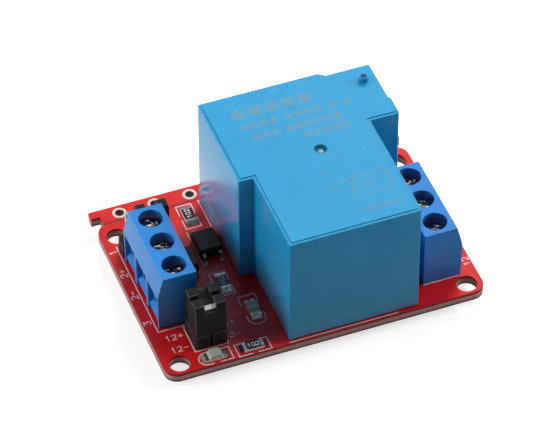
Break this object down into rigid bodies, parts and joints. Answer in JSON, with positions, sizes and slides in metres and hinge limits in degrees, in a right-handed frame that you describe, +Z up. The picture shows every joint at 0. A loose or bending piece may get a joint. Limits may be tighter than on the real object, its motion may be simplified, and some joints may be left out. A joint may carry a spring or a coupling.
{
  "type": "relay module board",
  "caption": "Circuit board with one sealed power relay, two three-way screw terminals, two jumper headers, status lamps and a break-off strip.",
  "frame": {"origin": "under the middle of the whole board, level with the tips of the soldered leads", "axes": "+X along the long edge, from the low-voltage terminal to the switched terminal; +Y towards the break-off strip; +Z up, away from the solder side"},
  "size_m": [0.0506, 0.0362, 0.0231],
  "materials": {
    "board_laminate": "woven glass laminate under gloss red lacquer",
    "solder": "bright solder and tin plating",
    "terminal_plastic": "moulded blue polyamide",
    "plated_steel": "bright nickel plate",
    "black_plastic": "moulded black polyester",
    "plated_brass": "tin-plated brass",
    "relay_plastic": "moulded light blue polyester, fine satin",
    "relay_base_plastic": "moulded black polyester",
    "soft_iron": "soft iron, nickel plated",
    "copper_wire": "enamelled copper",
    "contact_metal": "silver alloy",
    "chip_black": "moulded epoxy",
    "chip_white": "white moulded substrate",
    "led_resin": "cast translucent resin"
  },
  "bodies": {
    "board": {"circuit_board": "board_laminate", "strip_eyelets": "solder", "solder_joints": "solder", "chip_solder": "solder", "input_terminal_housing": "terminal_plastic", "output_terminal_housing": "terminal_plastic", "input_terminal_cages": "plated_steel", "output_terminal_cages": "plated_steel", "selector_header_base": "black_plastic", "trigger_header_base": "black_plastic", "selector_header_pins": "plated_brass", "trigger_header_pins": "plated_brass", "selector_cap_front": "black_plastic", "selector_cap_rear": "black_plastic", "trigger_cap": "black_plastic", "selector_contact_front": "plated_brass", "selector_contact_rear": "plated_brass", "trigger_cap_contact": "plated_brass", "relay_cover": "relay_plastic", "relay_base": "relay_base_plastic", "relay_yoke": "soft_iron", "relay_core": "soft_iron", "relay_bobbin": "relay_base_plastic", "relay_winding": "copper_wire", "relay_coil_pins": "plated_brass", "relay_open_contact": "plated_brass", "relay_closed_contact": "plated_brass", "relay_common_contact": "plated_brass", "relay_braid": "copper_wire", "relay_return_spring": "plated_steel", "resistor_bodies": "chip_black", "resistor_end_caps": "solder", "power_led_base": "chip_white", "power_led_end_caps": "solder", "power_led_lens": "led_resin", "relay_led_base": "chip_white", "relay_led_end_caps": "solder", "relay_led_lens": "led_resin", "optocoupler_body": "chip_black", "optocoupler_leads": "solder", "flyback_diode_body": "chip_black", "flyback_diode_leads": "solder", "driver_transistor_body": "chip_black", "driver_transistor_leads": "solder"},
    "input_plate_1": {"input_clamp_plate_1": "plated_steel"},
    "input_screw_1": {"input_screw_1": "plated_steel"},
    "input_plate_2": {"input_clamp_plate_2": "plated_steel"},
    "input_screw_2": {"input_screw_2": "plated_steel"},
    "input_plate_3": {"input_clamp_plate_3": "plated_steel"},
    "input_screw_3": {"input_screw_3": "plated_steel"},
    "output_plate_1": {"output_clamp_plate_1": "plated_steel"},
    "output_screw_1": {"output_screw_1": "plated_steel"},
    "output_plate_2": {"output_clamp_plate_2": "plated_steel"},
    "output_screw_2": {"output_screw_2": "plated_steel"},
    "output_plate_3": {"output_clamp_plate_3": "plated_steel"},
    "output_screw_3": {"output_screw_3": "plated_steel"},
    "relay_rocker": {"relay_armature": "soft_iron", "relay_contact_spring": "plated_brass", "relay_moving_contact": "contact_metal"}
  },
  "joints": [
    {"name": "input_plate_1_lift", "type": "slide", "parent": "board", "child": "input_plate_1", "axis": [0, 0, 1], "range_m": [0, 0.0018]},
    {"name": "input_screw_1_turn", "type": "hinge", "parent": "input_plate_1", "child": "input_screw_1", "pos_m": [-0.01987, -0.00599, 0.003], "axis": [0, 0, 1], "range_deg": [0, 1440]},
    {"name": "input_plate_2_lift", "type": "slide", "parent": "board", "child": "input_plate_2", "axis": [0, 0, 1], "range_m": [0, 0.0018]},
    {"name": "input_screw_2_turn", "type": "hinge", "parent": "input_plate_2", "child": "input_screw_2", "pos_m": [-0.01987, -0.00091, 0.003], "axis": [0, 0, 1], "range_deg": [0, 1440]},
    {"name": "input_plate_3_lift", "type": "slide", "parent": "board", "child": "input_plate_3", "axis": [0, 0, 1], "range_m": [0, 0.0018]},
    {"name": "input_screw_3_turn", "type": "hinge", "parent": "input_plate_3", "child": "input_screw_3", "pos_m": [-0.01987, 0.00417, 0.003], "axis": [0, 0, 1], "range_deg": [0, 1440]},
    {"name": "output_plate_1_lift", "type": "slide", "parent": "board", "child": "output_plate_1", "axis": [0, 0, 1], "range_m": [0, 0.0018]},
    {"name": "output_screw_1_turn", "type": "hinge", "parent": "output_plate_1", "child": "output_screw_1", "pos_m": [0.01925, -0.01142, 0.003], "axis": [0, 0, 1], "range_deg": [0, 1440]},
    {"name": "output_plate_2_lift", "type": "slide", "parent": "board", "child": "output_plate_2", "axis": [0, 0, 1], "range_m": [0, 0.0018]},
    {"name": "output_screw_2_turn", "type": "hinge", "parent": "output_plate_2", "child": "output_screw_2", "pos_m": [0.01925, -0.00634, 0.003], "axis": [0, 0, 1], "range_deg": [0, 1440]},
    {"name": "output_plate_3_lift", "type": "slide", "parent": "board", "child": "output_plate_3", "axis": [0, 0, 1], "range_m": [0, 0.0018]},
    {"name": "output_screw_3_turn", "type": "hinge", "parent": "output_plate_3", "child": "output_screw_3", "pos_m": [0.01925, -0.00126, 0.003], "axis": [0, 0, 1], "range_deg": [0, 1440]},
    {"name": "armature_pull", "type": "hinge", "parent": "board", "child": "relay_rocker", "pos_m": [0.00405, -0.01431, 0.0165], "axis": [-1, 0, 0], "range_deg": [0, 4], "stiffness_Nm_per_rad": 0.01, "springref_deg": -2.86}
  ],
  "couplings": [
    {"joint": "input_screw_1_turn", "follows": "input_plate_1_lift", "rad_per_m": 13962},
    {"joint": "input_screw_2_turn", "follows": "input_plate_2_lift", "rad_per_m": 13962},
    {"joint": "input_screw_3_turn", "follows": "input_plate_3_lift", "rad_per_m": 13962},
    {"joint": "output_screw_1_turn", "follows": "output_plate_1_lift", "rad_per_m": 13962},
    {"joint": "output_screw_2_turn", "follows": "output_plate_2_lift", "rad_per_m": 13962},
    {"joint": "output_screw_3_turn", "follows": "output_plate_3_lift", "rad_per_m": 13962}
  ]
}
